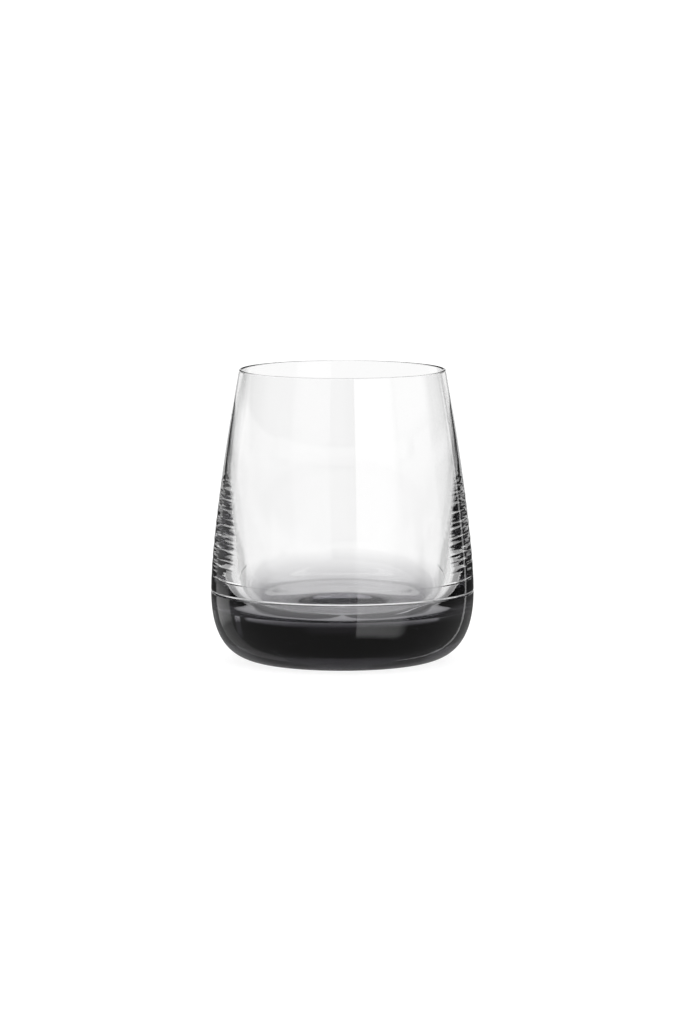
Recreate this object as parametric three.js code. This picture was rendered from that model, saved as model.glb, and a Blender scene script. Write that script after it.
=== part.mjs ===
// A hand-blown whiskey tumbler: a clear bowl fused into a heavy smoke-grey base.
// Millimetres, +Z up. The origin is the centre of the foot, on the surface it stands on.
import * as THREE from "three";

// Overall form
const HEIGHT = 100;
const RIM_RADIUS = 35.4; // outside, at the lip
const GIRTH_RADIUS = 45; // outside, where the tumbler is widest
const GIRTH_HEIGHT = 24.4;
const FOOT_RADIUS = 26; // outer edge of the flat ring that it stands on

// Outer wall: two handles shape the taper between the lip and the girth
const TAPER_UPPER = [39, 80];
const TAPER_LOWER_HEIGHT = 41;

// Heel: the rounded turn from the girth down to the foot
const HEEL_DROP = 13.4;
const HEEL_REACH = 15;

// Drinking cavity: the wall is 1 mm thick near the lip and thickens towards the floor
const LIP_THICKNESS = 1.1;
const CAVITY_UPPER = [40.8, 67.8];
const CAVITY_LOWER = [39.6, 56];
const CORNER_TOP = [37.2, 32.1]; // where the side of the cavity starts to turn inwards
const CORNER_SHARPNESS = 0.87;
const FLOOR_HEIGHT = 18.95;
const FLOOR_FLATNESS = 28.5;

// Fused face between the clear and the smoked glass: a dish, flat in the middle
const FUSED_EDGE_HEIGHT = GIRTH_HEIGHT;
const FUSED_CENTRE_HEIGHT = 15.9;
const FUSED_POWER = 6.2; // the higher, the flatter the middle and the steeper the edge
const FUSED_CROWDING = 1.6; // draws the steps towards the steep edge
const FUSION_GAP = 0.3; // measured square to the face

// Underside: a shallow recess inside the standing ring
const RECESS_RADIUS = 16;
const RECESS_DEPTH = 1;

// How finely the curves are cut
const AROUND = 48;
const WALL_STEPS = 14;
const CORNER_STEPS = 14;
const LIP_STEPS = 6;
const FUSED_STEPS = 14;
const HEEL_STEPS = 12;
const RECESS_STEPS = 4;

const point = (radius, height) => new THREE.Vector2(radius, height);

function bezier(start, handleA, handleB, end, steps) {
  return new THREE.CubicBezierCurve(start, handleA, handleB, end).getPoints(steps);
}

// From the middle of the drinking cavity's floor, up its side, to the lip's inner edge
function cavityOutline() {
  const cornerTop = point(...CORNER_TOP);
  const lower = point(...CAVITY_LOWER);
  const turn = lower.clone().sub(cornerTop).multiplyScalar(-CORNER_SHARPNESS).add(cornerTop);
  const lipRadius = LIP_THICKNESS / 2;
  const floor = bezier(
    point(0, FLOOR_HEIGHT),
    point(FLOOR_FLATNESS, FLOOR_HEIGHT),
    turn,
    cornerTop,
    CORNER_STEPS,
  );
  const side = bezier(
    cornerTop,
    lower,
    point(...CAVITY_UPPER),
    point(RIM_RADIUS - LIP_THICKNESS, HEIGHT - lipRadius),
    WALL_STEPS,
  );
  return [...floor, ...side.slice(1)];
}

// The half-round lip, from its inner edge over the top to its outer edge
function lipOutline() {
  const radius = LIP_THICKNESS / 2;
  const arc = new THREE.EllipseCurve(
    RIM_RADIUS - radius,
    HEIGHT - radius,
    radius,
    radius,
    Math.PI,
    0,
    true,
  );
  return arc.getPoints(LIP_STEPS).slice(1);
}

// The outside of the bowl, from under the lip down to the girth
function taperOutline() {
  return bezier(
    point(RIM_RADIUS, HEIGHT - LIP_THICKNESS / 2),
    point(...TAPER_UPPER),
    point(GIRTH_RADIUS, TAPER_LOWER_HEIGHT),
    point(GIRTH_RADIUS, GIRTH_HEIGHT),
    WALL_STEPS,
  ).slice(1);
}

// The fused face, from the outer surface to the axis, set down by a gap square to itself
function fusedOutline(gap) {
  const rise = FUSED_EDGE_HEIGHT - FUSED_CENTRE_HEIGHT;
  const outline = [];
  for (let i = 0; i <= FUSED_STEPS; i += 1) {
    const share = 1 - (i / FUSED_STEPS) ** FUSED_CROWDING;
    const slope = (FUSED_POWER * rise * share ** (FUSED_POWER - 1)) / GIRTH_RADIUS;
    const drop = gap * Math.hypot(1, slope);
    const height = FUSED_CENTRE_HEIGHT + rise * share ** FUSED_POWER - drop;
    outline.push(point(GIRTH_RADIUS * share, height));
  }
  return outline;
}

// The heel, from the smoked glass's upper edge round to the foot
function heelOutline(edge) {
  return bezier(
    edge,
    point(GIRTH_RADIUS, FUSED_EDGE_HEIGHT - HEEL_DROP),
    point(FOOT_RADIUS + HEEL_REACH, 0),
    point(FOOT_RADIUS, 0),
    HEEL_STEPS,
  ).slice(1);
}

// The standing ring's inner edge and the recess, to the axis
function recessOutline() {
  return bezier(
    point(RECESS_RADIUS, 0),
    point(RECESS_RADIUS * 0.75, 0),
    point(RECESS_RADIUS * 0.5, RECESS_DEPTH),
    point(0, RECESS_DEPTH),
    RECESS_STEPS,
  );
}

// A turned solid, with the lathe's Y axis stood up along Z. The outline runs with the
// glass on its right, from axis to axis.
function turned(name, outline, material) {
  const geometry = new THREE.LatheGeometry(outline, AROUND);
  geometry.rotateX(Math.PI / 2);
  const mesh = new THREE.Mesh(geometry, material);
  mesh.name = name;
  return mesh;
}

function clearBowl() {
  const glass = new THREE.MeshStandardMaterial({
    color: 0xf2f4f6,
    roughness: 0.03,
    metalness: 0,
    transparent: true,
    opacity: 0.3,
  });
  const outline = [
    ...cavityOutline(),
    ...lipOutline(),
    ...taperOutline(),
    ...fusedOutline(0).slice(1),
  ];
  return turned("clear_bowl", outline.reverse(), glass);
}

function smokeBase() {
  const glass = new THREE.MeshStandardMaterial({
    color: 0x1f1e23,
    roughness: 0.04,
    metalness: 0,
    transparent: true,
    opacity: 0.9,
  });
  const fused = fusedOutline(FUSION_GAP);
  const outline = [...fused.toReversed(), ...heelOutline(fused[0]), ...recessOutline()];
  return turned("smoke_base", outline.reverse(), glass);
}

const tumbler = new THREE.Group();
tumbler.name = "whiskey_tumbler";
tumbler.add(clearBowl(), smokeBase());

export default tumbler;
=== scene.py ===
# A hand-blown whiskey tumbler: a clear bowl fused into a heavy smoke-grey base.
# Metres, +Z up, on the CAD frame. Profile sizes are in millimetres, as on the CAD part.
import math
import random

import bmesh
import bpy
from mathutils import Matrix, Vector


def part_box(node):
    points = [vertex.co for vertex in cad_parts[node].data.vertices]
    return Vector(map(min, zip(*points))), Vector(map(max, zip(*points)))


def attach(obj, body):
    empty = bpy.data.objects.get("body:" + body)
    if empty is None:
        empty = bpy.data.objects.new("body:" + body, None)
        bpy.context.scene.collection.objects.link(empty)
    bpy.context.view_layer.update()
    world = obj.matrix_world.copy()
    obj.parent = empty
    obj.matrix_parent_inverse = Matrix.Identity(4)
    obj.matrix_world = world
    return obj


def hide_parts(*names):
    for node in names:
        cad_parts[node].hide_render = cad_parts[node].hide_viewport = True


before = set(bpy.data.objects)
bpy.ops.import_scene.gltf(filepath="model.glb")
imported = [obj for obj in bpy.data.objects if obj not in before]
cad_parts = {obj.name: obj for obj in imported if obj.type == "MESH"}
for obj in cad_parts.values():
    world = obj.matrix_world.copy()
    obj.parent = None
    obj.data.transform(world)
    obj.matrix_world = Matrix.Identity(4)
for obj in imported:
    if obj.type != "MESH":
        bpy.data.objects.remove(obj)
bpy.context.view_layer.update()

# ---------------------------------------------------------------- sizes

HEIGHT = 100.0
CAD_TOP_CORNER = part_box("clear_bowl")[1]
MM = CAD_TOP_CORNER[2] / HEIGHT
GIRTH = CAD_TOP_CORNER[0] / MM  # outside radius where the tumbler is widest

# Outer form, the same as on the CAD part
RIM_RADIUS = 35.4
TAPER_UPPER = (39.0, 80.0)
TAPER_LOWER_HEIGHT = 41.0
GIRTH_HEIGHT = 24.4
HEEL_DROP = 13.4
HEEL_REACH = 15.0
FOOT_RADIUS = 26.0
RECESS_RADIUS = 16.0
RECESS_DEPTH = 1.0

# Drinking cavity, the same as on the CAD part
LIP_THICKNESS = 1.1
CAVITY_UPPER = (40.8, 67.8)
CAVITY_LOWER = (39.6, 56.0)
CORNER_TOP = (37.2, 32.1)
CORNER_SHARPNESS = 0.87
FLOOR_HEIGHT = 18.95
FLOOR_FLATNESS = 28.5

# Fused face between the two glasses: the higher the power, the flatter the middle. The gap
# is much smaller than the CAD's, which is there for the solids' sake.
FUSED_CENTRE_HEIGHT = 15.9
FUSED_POWER = 6.2
FUSED_GAP = 0.02

# Soft crease round the front and sides where the two glasses meet. It fades out towards
# the back, between two sines of the angle round the tumbler.
SEAM_DEPTH = 0.26
SEAM_HALF_WIDTH = 0.65
SEAM_FADE_START = 0.1
SEAM_FADE_END = 0.45

# How finely the profile and the circle are cut
AROUND = 192
CORNER_STEPS = 64
CAVITY_STEPS = 520
LIP_STEPS = 12
TAPER_STEPS = 520
SEAM_STEPS = 6
FUSED_STEPS = 40
HEEL_STEPS = 56
RECESS_STEPS = 20
AXIS_RADIUS = 1e-9  # a ring smaller than this is a single point on the axis

# Shaping marks in the lower wall, in an upright band on each side: the wavelength and depth
# of each wave, and how many times it sways up and down on its way round the tumbler
MARKS_LOW = 26.0
MARKS_HIGH = 66.0
MARKS_ONSET = 1.6  # the higher, the sooner they reach their full depth from both ends
MARKS_SWAY = 1.3  # radians of a wave's phase
MARKS_BAND_TURN = 6.0  # degrees in front of the side
MARKS_BAND_SPREAD = 11.0  # degrees
MARKS_SEED = 11
INNER_WAVES = (
    (3.3, 0.025, 2),
    (2.1, 0.017, -4),
    (1.3, 0.010, 3),
)
OUTER_WAVES = (
    (4.9, 0.040, 3),
    (2.9, 0.031, -5),
    (1.9, 0.022, 4),
    (1.2, 0.012, -6),
)

# Glass
GLASS_IOR = 1.5
SMOKE_ABSORPTION = (53.0, 53.4, 51.5)  # per metre, for red, green and blue
DENSITY_MARGIN = 1.1  # over the strongest absorption, so that every tint is above zero

# Fine surface detail. Noise scales are in cycles per metre, heights in metres.
WAVINESS_SCALE = 90.0
WAVINESS_DETAIL = 1.0
WAVINESS_DEPTH = 1.5e-6
FILM_SCALE = 140.0
FILM_DETAIL = 3.0
FILM_NOISE = (0.55, 0.8)  # the noise that stands for clean, and for the thickest film
FILM_ROUGHNESS = (0.0, 0.012)
SCUFF_SCALE = 1300.0
SCUFF_DETAIL = 4.0
SCUFF_NOISE = (0.45, 0.8)
SCUFF_ROUGHNESS = (0.02, 0.14)
SCUFF_HEIGHT = (0.0001, 0.0006)  # full below the first, gone above the second

# ---------------------------------------------------------------- profiles


def bezier(start, handle_a, handle_b, end, steps):
    """Points of a cubic curve, start and end included."""
    corners = (start, handle_a, handle_b, end)
    points = []
    for i in range(steps + 1):
        t = i / steps
        s = 1.0 - t
        weights = (s * s * s, 3.0 * s * s * t, 3.0 * s * t * t, t * t * t)
        radius = sum(w * c[0] for w, c in zip(weights, corners))
        height = sum(w * c[1] for w, c in zip(weights, corners))
        points.append((radius, height))
    return points


def cavity_profile():
    """From the middle of the cavity's floor, up its side, to the lip's inner edge."""
    turn_radius = CORNER_TOP[0] - CORNER_SHARPNESS * (CAVITY_LOWER[0] - CORNER_TOP[0])
    turn_height = CORNER_TOP[1] - CORNER_SHARPNESS * (CAVITY_LOWER[1] - CORNER_TOP[1])
    middle = (0.0, FLOOR_HEIGHT)
    flat = (FLOOR_FLATNESS, FLOOR_HEIGHT)
    floor = bezier(middle, flat, (turn_radius, turn_height), CORNER_TOP, CORNER_STEPS)
    lip_inner = (RIM_RADIUS - LIP_THICKNESS, HEIGHT - LIP_THICKNESS / 2.0)
    side = bezier(CORNER_TOP, CAVITY_LOWER, CAVITY_UPPER, lip_inner, CAVITY_STEPS)
    return floor + side[1:]


def lip_profile():
    """The half-round lip, over the top to its outer edge."""
    radius = LIP_THICKNESS / 2.0
    points = []
    for i in range(1, LIP_STEPS + 1):
        angle = math.pi * (1.0 - i / LIP_STEPS)
        across = RIM_RADIUS - radius + radius * math.cos(angle)
        up = HEIGHT - radius + radius * math.sin(angle)
        points.append((across, up))
    return points


def taper_profile():
    """The outside of the bowl, from under the lip down to the girth."""
    top = (RIM_RADIUS, HEIGHT - LIP_THICKNESS / 2.0)
    lower_handle = (GIRTH, TAPER_LOWER_HEIGHT)
    wall = bezier(top, TAPER_UPPER, lower_handle, (GIRTH, GIRTH_HEIGHT), TAPER_STEPS)[1:]
    seam_top = GIRTH_HEIGHT + SEAM_HALF_WIDTH
    return [point for point in wall if point[1] > seam_top] + seam_profile(0.0, 1.0)


def seam_profile(drop, side):
    """Closer rows from one edge of the crease to its middle. Side 1 is above, -1 below."""
    points = []
    for i in range(SEAM_STEPS + 1):
        share = i / SEAM_STEPS
        height = GIRTH_HEIGHT - drop + side * SEAM_HALF_WIDTH * (1.0 - share)
        points.append((GIRTH, height))
    return points


def fused_profile(drop):
    """The fused face, flat in the middle and rising to the girth, from the girth in."""
    rise = GIRTH_HEIGHT - FUSED_CENTRE_HEIGHT
    points = []
    for i in range(FUSED_STEPS + 1):
        share = 1.0 - i / FUSED_STEPS
        height = FUSED_CENTRE_HEIGHT + rise * share**FUSED_POWER - drop
        points.append((GIRTH * share, height))
    return points


def heel_profile(drop):
    """From the fused face's edge round the heel to the foot."""
    heel = bezier(
        (GIRTH, GIRTH_HEIGHT - drop),
        (GIRTH, GIRTH_HEIGHT - HEEL_DROP),
        (FOOT_RADIUS + HEEL_REACH, 0.0),
        (FOOT_RADIUS, 0.0),
        HEEL_STEPS,
    )
    seam_foot = GIRTH_HEIGHT - drop - SEAM_HALF_WIDTH
    seam = seam_profile(drop, -1.0)[-2::-1]
    return seam + [point for point in heel if point[1] < seam_foot]


def recess_profile():
    """From the standing ring's inner edge over the shallow recess to the axis."""
    return bezier(
        (RECESS_RADIUS, 0.0),
        (RECESS_RADIUS * 0.75, 0.0),
        (RECESS_RADIUS * 0.5, RECESS_DEPTH),
        (0.0, RECESS_DEPTH),
        RECESS_STEPS,
    )


# ---------------------------------------------------------------- meshes


def marks_maker(sizes):
    """A function of height and angle: how far the shaping marks move the wall out."""
    draw = random.Random(MARKS_SEED)
    waves = []
    for length, depth, twist in sizes:
        waves.append((length, depth, twist, draw.uniform(0.0, math.tau)))
    drift = draw.uniform(0.0, math.tau)

    def marks(height, angle):
        if not MARKS_LOW < height < MARKS_HIGH:
            return 0.0
        along = (height - MARKS_LOW) / (MARKS_HIGH - MARKS_LOW)
        envelope = min(1.0, MARKS_ONSET * math.sin(math.pi * along))
        total = 0.0
        for length, depth, twist, phase in waves:
            sway = MARKS_SWAY * math.sin(twist * angle + drift)
            total += depth * math.sin(math.tau * height / length + phase + sway)
        turn = math.degrees(math.atan2(math.sin(angle), abs(math.cos(angle))))
        band = math.exp(-(((turn + MARKS_BAND_TURN) / MARKS_BAND_SPREAD) ** 2))
        return envelope * band * total

    return marks


def crease(height, angle):
    """How far the soft crease between the two glasses moves the wall, which is inwards."""
    near = 1.0 - abs(height - GIRTH_HEIGHT) / SEAM_HALF_WIDTH
    if near <= 0.0:
        return 0.0
    left = (SEAM_FADE_END - math.sin(angle)) / (SEAM_FADE_END - SEAM_FADE_START)
    fade = min(1.0, max(0.0, left))
    return -SEAM_DEPTH * near * near * fade


def circle_verts(bm, radius, height, moves):
    """One turn of vertices. Each move is a function that changes the radius."""
    if radius < AXIS_RADIUS:
        return [bm.verts.new((0.0, 0.0, height * MM))]
    circle = []
    for step in range(AROUND):
        angle = math.tau * step / AROUND
        reach = radius
        for move in moves:
            reach += move(height, angle)
        x = reach * math.cos(angle) * MM
        y = reach * math.sin(angle) * MM
        circle.append(bm.verts.new((x, y, height * MM)))
    return circle


def turned_mesh(name, rings, fused_rows, reliefs):
    """A closed solid turned from rings, which run from axis to axis. The faces of fused_rows
    carry the value 1 in the layer 'fused', and have a sharp border. Each relief is a range
    of rows and the function that moves their vertices out from the axis."""
    mesh = bpy.data.meshes.new(name)
    bm = bmesh.new()
    fused = bm.faces.layers.float.new("fused")
    circles = []
    for row, (radius, height) in enumerate(rings):
        moves = [move for rows, move in reliefs if row in rows]
        circles.append(circle_verts(bm, radius, height, moves))
    for row in range(len(circles) - 1):
        for face in row_faces(bm, circles[row], circles[row + 1]):
            face.smooth = True
            face[fused] = 1.0 if row in fused_rows else 0.0
    if bm.calc_volume(signed=True) < 0.0:
        bmesh.ops.reverse_faces(bm, faces=bm.faces[:])
    for edge in bm.edges:
        a, b = edge.link_faces
        edge.smooth = a[fused] == b[fused]
    bm.to_mesh(mesh)
    bm.free()
    piece = bpy.data.objects.new(name, mesh)
    bpy.context.collection.objects.link(piece)
    return piece


def row_faces(bm, lower, upper):
    """The faces between two neighbouring circles, either of which may be a single point."""
    faces = []
    for step in range(AROUND):
        after = (step + 1) % AROUND
        if len(lower) == 1:
            corners = (lower[0], upper[step], upper[after])
        elif len(upper) == 1:
            corners = (lower[step], upper[0], lower[after])
        else:
            corners = (lower[step], upper[step], upper[after], lower[after])
        faces.append(bm.faces.new(corners))
    return faces


def clear_bowl():
    """The clear glass: cavity, lip, outer wall and the upper side of the fused face."""
    cavity = cavity_profile()
    outside = lip_profile() + taper_profile()
    fused = fused_profile(0.0)[1:]
    rings = cavity + outside + fused
    first_fused = len(cavity) + len(outside) - 1
    fused_rows = range(first_fused, len(rings) - 1)
    inner_rows = range(CORNER_STEPS // 2, len(cavity))
    outer_rows = range(len(cavity), first_fused)
    reliefs = (
        (inner_rows, marks_maker(INNER_WAVES)),
        (outer_rows, marks_maker(OUTER_WAVES)),
        (range(len(cavity), first_fused + 1), crease),
    )
    return turned_mesh("bowl_glass", rings, fused_rows, reliefs)


def smoke_base():
    """The smoke glass: the lower side of the fused face, the heel, the foot and its recess."""
    fused = fused_profile(FUSED_GAP)[::-1]
    heel = heel_profile(FUSED_GAP)
    rings = fused + heel + recess_profile()
    fused_rows = range(len(fused) - 1)
    heel_rows = range(len(fused) - 1, len(fused) + len(heel))
    return turned_mesh("base_glass", rings, fused_rows, ((heel_rows, crease),))


# ---------------------------------------------------------------- materials


class Nodes:
    """A short way to add and link nodes."""

    def __init__(self, tree):
        self.tree = tree
        tree.nodes.clear()

    def add(self, kind, **settings):
        node = self.tree.nodes.new("ShaderNode" + kind)
        for key, value in settings.items():
            setattr(node, key, value)
        return node

    def link(self, source, target):
        self.tree.links.new(source, target)

    def feed(self, value, target):
        """Links a socket, or sets a plain number."""
        if isinstance(value, (int, float)):
            target.default_value = value
        else:
            self.link(value, target)

    def maths(self, operation, *values):
        node = self.add("Math", operation=operation)
        for value, target in zip(values, node.inputs):
            self.feed(value, target)
        return node.outputs[0]

    def ramp(self, value, start, end, low, high):
        """A smooth step of value, from low at start to high at end."""
        node = self.add("MapRange", interpolation_type="SMOOTHSTEP")
        for number, target in zip((value, start, end, low, high), node.inputs):
            self.feed(number, target)
        return node.outputs[0]

    def blend(self, share, start, end):
        """Start where share is 0, end where it is 1."""
        node = self.add("Mix", data_type="FLOAT")
        self.feed(share, node.inputs[0])
        self.feed(start, node.inputs[2])
        self.feed(end, node.inputs[3])
        return node.outputs[0]

    def noise(self, place, scale, detail):
        """Solid noise at a place."""
        node = self.add("TexNoise", noise_dimensions="3D")
        node.inputs["Scale"].default_value = scale
        node.inputs["Detail"].default_value = detail
        self.link(place, node.inputs["Vector"])
        return node.outputs["Fac"]


def glass_surface(nodes, place, polish):
    """A clear, faintly wavy dielectric whose fused faces don't bend light. Returns the
    material's output node."""
    shader = nodes.add("BsdfPrincipled")
    shader.inputs["Base Color"].default_value = WHITE
    shader.inputs["Transmission Weight"].default_value = 1.0
    fused = nodes.add("Attribute", attribute_name="fused").outputs["Fac"]
    ior = nodes.maths("MULTIPLY_ADD", fused, 1.0 - GLASS_IOR, GLASS_IOR)
    nodes.link(ior, shader.inputs["IOR"])
    nodes.link(polish, shader.inputs["Roughness"])
    bump = nodes.add("Bump")
    bump.inputs["Strength"].default_value = 1.0
    bump.inputs["Distance"].default_value = WAVINESS_DEPTH
    nodes.link(nodes.noise(place, WAVINESS_SCALE, WAVINESS_DETAIL), bump.inputs["Height"])
    nodes.link(bump.outputs["Normal"], shader.inputs["Normal"])
    output = nodes.add("OutputMaterial")
    nodes.link(shader.outputs[0], output.inputs["Surface"])
    return output


def clear_glass():
    """Fire-polished colourless glass, with the faintest uneven film on it."""
    material = bpy.data.materials.new("clear_glass")
    material.use_nodes = True
    nodes = Nodes(material.node_tree)
    place = nodes.add("TexCoord").outputs["Object"]
    film = nodes.noise(place, FILM_SCALE, FILM_DETAIL)
    glass_surface(nodes, place, nodes.ramp(film, *FILM_NOISE, *FILM_ROUGHNESS))
    return material


def smoke_glass():
    """Smoke-grey glass, darker where it is deeper, scuffed on the ring that it stands on."""
    material = bpy.data.materials.new("smoke_glass")
    material.use_nodes = True
    nodes = Nodes(material.node_tree)
    place = nodes.add("TexCoord").outputs["Object"]
    height = nodes.add("SeparateXYZ")
    nodes.link(place, height.inputs[0])
    foot = nodes.ramp(height.outputs["Z"], *SCUFF_HEIGHT, 1.0, 0.0)
    scuffs = nodes.noise(place, SCUFF_SCALE, SCUFF_DETAIL)
    worn = nodes.ramp(scuffs, *SCUFF_NOISE, *SCUFF_ROUGHNESS)
    output = glass_surface(nodes, place, nodes.maths("MULTIPLY", foot, worn))
    density = max(SMOKE_ABSORPTION) * DENSITY_MARGIN
    absorption = nodes.add("VolumeAbsorption")
    absorption.inputs["Density"].default_value = density
    tint = [1.0 - share / density for share in SMOKE_ABSORPTION]
    absorption.inputs["Color"].default_value = (*tint, 1.0)
    nodes.link(absorption.outputs[0], output.inputs["Volume"])
    return material


# ---------------------------------------------------------------- studio

FLOOR_RADIUS = 0.22
FLOOR_STEPS = 128
FLOOR_DROP = 0.02  # mm below the foot
FLOOR_ALBEDO = 0.25
FLOOR_GLOW = 0.84
BACKDROP_WHITE = 1.15
WHITE = (1.0, 1.0, 1.0, 1.0)
HALF_TURN = 180.0
FULL_TURN = 360.0

# Light panels: the rays that see them, then the azimuth of the middle, half width, soft edge,
# lowest and highest elevation and soft edge, in degrees, then the radiance. Azimuth 0 is
# behind the tumbler and 90 to its right. Light that has passed through the glass comes from
# "through" panels, reflections from "mirror" panels. Where panels overlap, the brightest
# counts. The "table" and "horizon" panels stand in for the floor, which the glass can't see.
PANELS = (
    ("canopy", "both", 0, 181, 1, 30, 91, 5, 1.5),
    ("zenith", "through", 0, 181, 1, 50, 91, 5, 3.6),
    ("backdrop", "through", 0, 11, 3, -91, 6, 2, 0.97),
    ("backdrop_mirror", "mirror", 0, 11, 3, -7, 6, 2, 0.97),
    ("backdrop_low_band", "both", 0, 36, 2, -1.5, 4.7, 0.7, 0.9),
    ("horizon", "through", 180, 145, 8, -20, -1, 3, 0.9),
    ("table_behind", "through", 0, 21, 4, -47, -12, 4, 0.95),
    ("table_in_front", "through", 180, 146, 4, -47, -12, 4, 0.95),
    ("table_beside", "through", 180, 181, 1, -47, -12, 4, 0.5),
    ("table_under_foot", "through", 180, 181, 1, -91, -45, 4, 0.34),
    ("table_mirror", "mirror", 180, 181, 1, -91, -8, 4, 0.22),
    ("edge_band", "mirror", 0, 36, 2, -4.6, -3, 0.4, 0.9),
    ("left_strip", "through", -48, 14, 3, -22, 3, 2, 1.1),
    ("left_strip_high", "mirror", -48, 14, 3, -17, -5.5, 4, 0.95),
    ("left_strip_low", "mirror", -48, 14, 3, -60, -5.5, 1, 0.42),
    ("left_glow", "mirror", -48, 20, 4, -6, 4, 1, 0.35),
    ("left_side", "both", -90, 14, 3, -7, 4.7, 1, 1.1),
    ("left_low_band", "both", -90, 34, 2, -1.5, 4.7, 0.7, 0.9),
    ("left_rear", "both", -138, 16, 4, -7, 6, 2, 0.9),
    ("right_strip", "both", 42, 2, 1, -60, 12, 2, 1.1),
    ("right_side", "both", 90, 12, 3, -7, 4.7, 1, 1.0),
    ("right_softbox", "both", 100, 25, 8, 5, 60, 4, 1.1),
    ("front_softbox", "both", 151.5, 15.5, 0.8, -36, 55, 6, 1.6),
    ("front_softbox_edge", "both", 135, 14, 9, -36, 55, 6, 1.5),
    ("front_low_band", "both", 180, 70, 5, -1, 5.5, 1, 1.2),
    ("front_left_fill", "both", -135, 50, 10, 5, 91, 5, 0.3),
    ("surround", "both", 180, 180, 1, -91, 91, 1, 0.05),
)


def studio_floor():
    """A plain pale disc under the tumbler."""
    mesh = bpy.data.meshes.new("studio_floor")
    corners = []
    for step in range(FLOOR_STEPS):
        angle = math.tau * step / FLOOR_STEPS
        corners.append((FLOOR_RADIUS * math.cos(angle), FLOOR_RADIUS * math.sin(angle), 0.0))
    mesh.from_pydata(corners, [], [tuple(range(FLOOR_STEPS))])
    floor = bpy.data.objects.new("studio_floor", mesh)
    floor.location.z = -FLOOR_DROP * MM
    floor.visible_glossy = False
    floor.visible_transmission = False
    bpy.context.collection.objects.link(floor)
    material = bpy.data.materials.new("studio_floor")
    material.use_nodes = True
    shader = material.node_tree.nodes["Principled BSDF"]
    shader.inputs["Base Color"].default_value = (FLOOR_ALBEDO, FLOOR_ALBEDO, FLOOR_ALBEDO, 1.0)
    shader.inputs["Roughness"].default_value = 1.0
    shader.inputs["Specular IOR Level"].default_value = 0.0
    shader.inputs["Emission Color"].default_value = WHITE
    shader.inputs["Emission Strength"].default_value = FLOOR_GLOW
    mesh.materials.append(material)
    return floor


def panel(nodes, azimuth, elevation, centre, half, side_soft, low, high, end_soft, radiance):
    """One panel's light as a socket."""
    shifted = nodes.maths("ADD", azimuth, FULL_TURN + HALF_TURN - centre)
    positive = nodes.maths("FLOORED_MODULO", shifted, FULL_TURN)
    offset = nodes.maths("ABSOLUTE", nodes.maths("SUBTRACT", positive, HALF_TURN))
    across = nodes.ramp(offset, half - side_soft, half + side_soft, radiance, 0.0)
    above = nodes.ramp(elevation, low - end_soft, low + end_soft, 0.0, 1.0)
    below = nodes.ramp(elevation, high - end_soft, high + end_soft, 1.0, 0.0)
    return nodes.maths("MULTIPLY", across, nodes.maths("MULTIPLY", above, below))


def studio_world():
    """Soft panels round the tumbler, on a dark surround. The camera itself sees white."""
    world = bpy.data.worlds.new("studio")
    bpy.context.scene.world = world
    world.use_nodes = True
    nodes = Nodes(world.node_tree)
    direction = nodes.add("SeparateXYZ")
    nodes.link(nodes.add("TexCoord").outputs["Generated"], direction.inputs[0])
    x, y, z = direction.outputs
    degrees = HALF_TURN / math.pi
    azimuth = nodes.maths("MULTIPLY", nodes.maths("ARCTAN2", x, y), degrees)
    elevation = nodes.maths("MULTIPLY", nodes.maths("ARCSINE", z), degrees)
    light = {"through": 0.0, "mirror": 0.0}
    for _name, seen_by, *shape in PANELS:
        glow = panel(nodes, azimuth, elevation, *shape)
        for rays in light if seen_by == "both" else (seen_by,):
            light[rays] = nodes.maths("MAXIMUM", light[rays], glow)
    path = nodes.add("LightPath").outputs
    lit = nodes.blend(path["Is Transmission Ray"], light["mirror"], light["through"])
    shown = nodes.blend(path["Is Camera Ray"], lit, BACKDROP_WHITE)
    background = nodes.add("Background")
    background.inputs["Color"].default_value = WHITE
    nodes.link(shown, background.inputs["Strength"])
    output = nodes.add("OutputWorld")
    nodes.link(background.outputs[0], output.inputs["Surface"])


# ---------------------------------------------------------------- camera

# Long lens from 2 m away, looking down at about 6.5 degrees
CAMERA_PLACE = (0.0, -2.0, 0.2785)
CAMERA_AIM = (-0.00014, 0.0, 0.0506)
CAMERA_LENS = 206.46
CAMERA_SENSOR = 36.0


def studio_camera():
    """The camera of the photo."""
    data = bpy.data.cameras.new("camera")
    data.lens = CAMERA_LENS
    data.sensor_width = CAMERA_SENSOR
    camera = bpy.data.objects.new("camera", data)
    camera.location = CAMERA_PLACE
    aim = Vector(CAMERA_AIM) - camera.location
    camera.rotation_euler = aim.to_track_quat("-Z", "Y").to_euler()
    bpy.context.collection.objects.link(camera)
    bpy.context.scene.camera = camera


def render_look():
    """Enough bounces for light to cross both glasses several times."""
    scene = bpy.context.scene
    scene.view_settings.view_transform = "Standard"
    scene.cycles.max_bounces = 40
    scene.cycles.transmission_bounces = 40
    scene.cycles.glossy_bounces = 16
    scene.cycles.diffuse_bounces = 4
    scene.cycles.transparent_max_bounces = 16


# ---------------------------------------------------------------- assembly


def add_piece(piece, material, node):
    """Gives a piece its material and its body, and hides the CAD node that it stands for."""
    piece.data.materials.append(material)
    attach(piece, "root")
    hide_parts(node)


add_piece(clear_bowl(), clear_glass(), "clear_bowl")
add_piece(smoke_base(), smoke_glass(), "smoke_base")
studio_floor()
studio_world()
studio_camera()
render_look()
